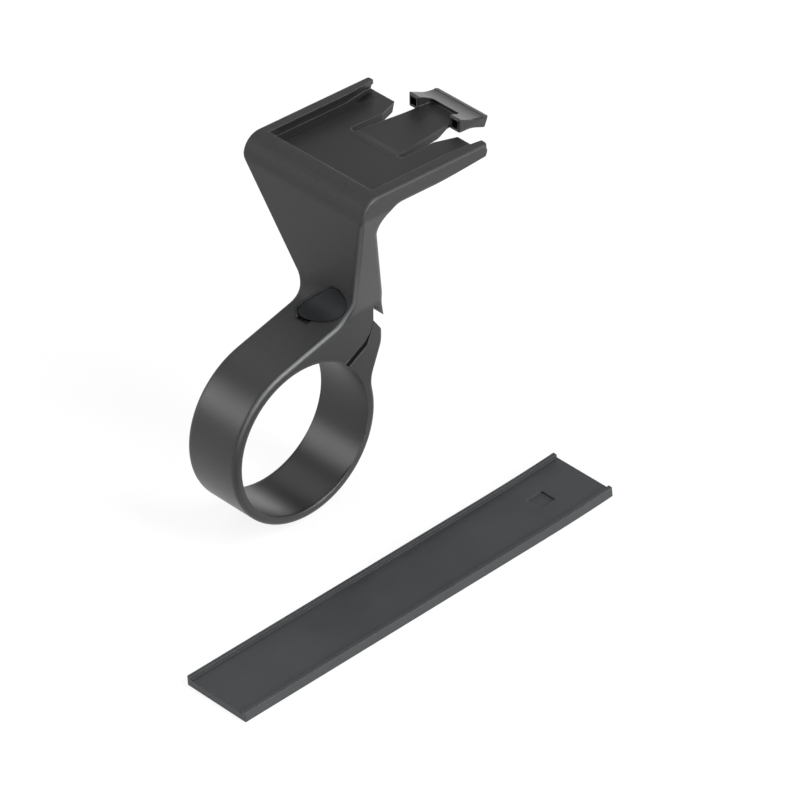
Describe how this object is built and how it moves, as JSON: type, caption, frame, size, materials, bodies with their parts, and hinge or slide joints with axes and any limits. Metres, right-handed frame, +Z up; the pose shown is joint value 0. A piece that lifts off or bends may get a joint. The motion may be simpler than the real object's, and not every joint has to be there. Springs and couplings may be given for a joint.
{
  "type": "out-front computer mount",
  "caption": "Matt black moulded handlebar mount for a bike computer, with a split bar ring, a raked arm, side rails with a sprung latch, and a rubber bar liner lying beside it.",
  "frame": {"origin": "centre of the bar ring's bore, on the middle plane", "axes": "+X along the handlebar, +Y forward along the rails, +Z up, square to the plate"},
  "size_m": [0.0662, 0.1044, 0.0835],
  "materials": {
    "moulding": "fine moulded grain",
    "cap_rubber": "smooth",
    "steel": "bright",
    "liner_rubber": "matt"
  },
  "bodies": {
    "mount": {"mount_body": "moulding", "clamp_nut": "steel", "shim_strip": "liner_rubber"},
    "latch": {"latch_tongue": "moulding"},
    "cap": {"screw_cap": "cap_rubber"},
    "screw": {"clamp_screw": "steel"}
  },
  "joints": [
    {"name": "latch_press", "type": "hinge", "parent": "mount", "child": "latch", "pos_m": [0, 0.0268, 0.0561], "axis": [-1, 0, 0], "range_deg": [0, 8], "stiffness_Nm_per_rad": 1.2},
    {"name": "cap_pull", "type": "slide", "parent": "mount", "child": "cap", "axis": [0, -0.5878, 0.809], "range_m": [0, 0.008]},
    {"name": "screw_turn", "type": "hinge", "parent": "mount", "child": "screw", "pos_m": [0, 0.01381, 0.01918], "axis": [0, 0.5878, -0.809], "continuous": true}
  ]
}
